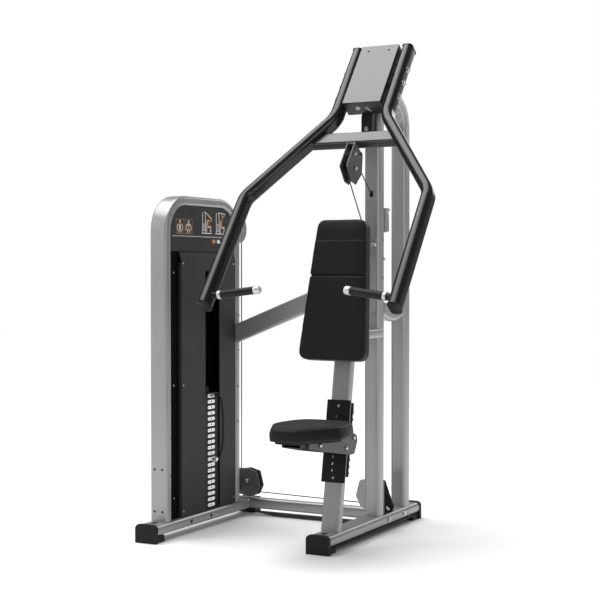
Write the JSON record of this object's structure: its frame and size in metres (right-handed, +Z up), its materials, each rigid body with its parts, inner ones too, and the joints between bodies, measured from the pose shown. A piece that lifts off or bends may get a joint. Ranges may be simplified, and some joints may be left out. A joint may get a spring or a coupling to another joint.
{
  "type": "chest press machine",
  "caption": "Selectorised chest press: a weight tower beside a seat frame, with an overhead pivoting press arm that lifts the plates through a cable, an adjustable seat and a back pad",
  "frame": {"origin": "on the floor, under the middle of the machine's outer box", "axes": "+Z up, +X from the weight tower towards the seat frame, the user sits facing -Y"},
  "size_m": [1.2219, 1.229, 2.1037],
  "materials": {
    "silver_frame": "satin silver powder coat",
    "black_paint": "semi-gloss black powder coat",
    "grey_shroud": "matt dark grey paint",
    "placard_face": "printed matt sheet",
    "grey_bracket": "satin dark grey paint",
    "rubber_foot": "moulded black rubber",
    "grip_rubber": "ribbed black rubber",
    "pad_vinyl": "stitched black vinyl over foam",
    "black_plastic": "black nylon",
    "bright_steel": "plated steel",
    "plate_iron": "black painted iron",
    "cable_coat": "nylon-coated steel cable",
    "cord_coat": "coiled plastic cord"
  },
  "bodies": {
    "frame": {"seat_frame_rail": "silver_frame", "tower_rail": "silver_frame", "cross_tube": "silver_frame", "rising_brace": "silver_frame", "uprights": "silver_frame", "upright_link": "silver_frame", "seat_post": "silver_frame", "post_stay": "silver_frame", "rear_pulley_cover": "silver_frame", "frame_low_bracket": "silver_frame", "high_pulley_bracket": "silver_frame", "cable_anchor": "silver_frame", "tower_frame": "silver_frame", "floor_tie_bar": "black_paint", "upright_foot_gusset": "black_paint", "number_plate": "black_paint", "latch_rack": "black_paint", "pad_bracket": "black_paint", "pivot_housing": "black_paint", "arm_rest_stop": "black_paint", "top_pulley_bracket": "grey_bracket", "tower_low_bracket": "grey_bracket", "seat_frame_front_foot": "rubber_foot", "seat_frame_rear_foot": "rubber_foot", "tower_front_foot": "rubber_foot", "tower_rear_foot": "rubber_foot", "stack_bumper": "rubber_foot", "back_pad": "pad_vinyl", "shroud_liner": "black_plastic", "guide_rod_front": "bright_steel", "guide_rod_rear": "bright_steel", "resting_plates": "plate_iron", "cable_run": "cable_coat", "stack_cable": "cable_coat", "arm_cable": "cable_coat", "shroud_panel": "grey_shroud", "placard": "placard_face"},
    "press_arm": {"press_arm_left": "black_paint", "press_arm_right": "black_paint", "arm_crossbar": "black_paint", "counterweight_box": "black_paint", "pivot_shaft": "bright_steel", "arm_pulley_bracket": "grey_bracket", "handle_left": "bright_steel", "handle_right": "bright_steel", "grip_left": "grip_rubber", "grip_right": "grip_rubber"},
    "weight_stack": {"head_plate": "plate_iron", "lifted_plates": "plate_iron", "pin_tether": "cord_coat"},
    "selector_pin": {"selector_pin": "bright_steel"},
    "seat": {"seat_carriage": "grey_bracket", "seat_board": "black_plastic", "seat_pad": "pad_vinyl"},
    "top_front_pulley": {"top_front_pulley": "black_plastic"},
    "top_rear_pulley": {"top_rear_pulley": "black_plastic"},
    "tower_low_pulley": {"tower_low_pulley": "black_plastic"},
    "frame_low_pulley": {"frame_low_pulley": "black_plastic"},
    "frame_high_pulley": {"frame_high_pulley": "black_plastic"},
    "arm_pulley": {"arm_pulley": "black_plastic"}
  },
  "joints": [
    {"name": "arm_press", "type": "hinge", "parent": "frame", "child": "press_arm", "pos_m": [0.17305, 0.1905, 1.921], "axis": [-1, 0, 0], "range_deg": [0, 30], "deforming": ["arm_cable"]},
    {"name": "stack_lift", "type": "slide", "parent": "frame", "child": "weight_stack", "axis": [0, 0, 1], "range_m": [0, 0.43], "deforming": ["stack_cable"]},
    {"name": "pin_pull", "type": "slide", "parent": "weight_stack", "child": "selector_pin", "axis": [1, 0, 0], "range_m": [0, 0.1]},
    {"name": "seat_height", "type": "slide", "parent": "frame", "child": "seat", "axis": [0, 0.1771, 0.9842], "range_m": [-0.1375, 0.0825]},
    {"name": "top_front_spin", "type": "hinge", "parent": "frame", "child": "top_front_pulley", "pos_m": [-0.55995, 0.0615, 1.32], "axis": [-1, 0, 0], "range_deg": [0, 495]},
    {"name": "top_rear_spin", "type": "hinge", "parent": "frame", "child": "top_rear_pulley", "pos_m": [-0.55995, 0.2815, 1.32], "axis": [-1, 0, 0], "range_deg": [0, 495]},
    {"name": "tower_low_spin", "type": "hinge", "parent": "frame", "child": "tower_low_pulley", "pos_m": [-0.51009, 0.32783, 0.16], "axis": [-0.0735, -0.9973, 0], "range_deg": [0, 495]},
    {"name": "frame_low_spin", "type": "hinge", "parent": "frame", "child": "frame_low_pulley", "pos_m": [0.12319, 0.28117, 0.16], "axis": [-0.0735, -0.9973, 0], "range_deg": [0, 495]},
    {"name": "frame_high_spin", "type": "hinge", "parent": "frame", "child": "frame_high_pulley", "pos_m": [0.17305, 0.2345, 1.354], "axis": [1, 0, 0], "range_deg": [0, 575]},
    {"name": "arm_pulley_spin", "type": "hinge", "parent": "press_arm", "child": "arm_pulley", "pos_m": [0.17305, -0.01305, 1.55375], "axis": [1, 0, 0], "range_deg": [0, 275]}
  ],
  "couplings": [
    {"joint": "stack_lift", "follows": "arm_press", "m_per_rad": 0.82},
    {"joint": "top_front_spin", "follows": "arm_press", "ratio": 16.4},
    {"joint": "top_rear_spin", "follows": "arm_press", "ratio": 16.4},
    {"joint": "tower_low_spin", "follows": "arm_press", "ratio": 16.4},
    {"joint": "frame_low_spin", "follows": "arm_press", "ratio": 16.4},
    {"joint": "frame_high_spin", "follows": "arm_press", "ratio": 19.07},
    {"joint": "arm_pulley_spin", "follows": "arm_press", "ratio": 9.1}
  ]
}
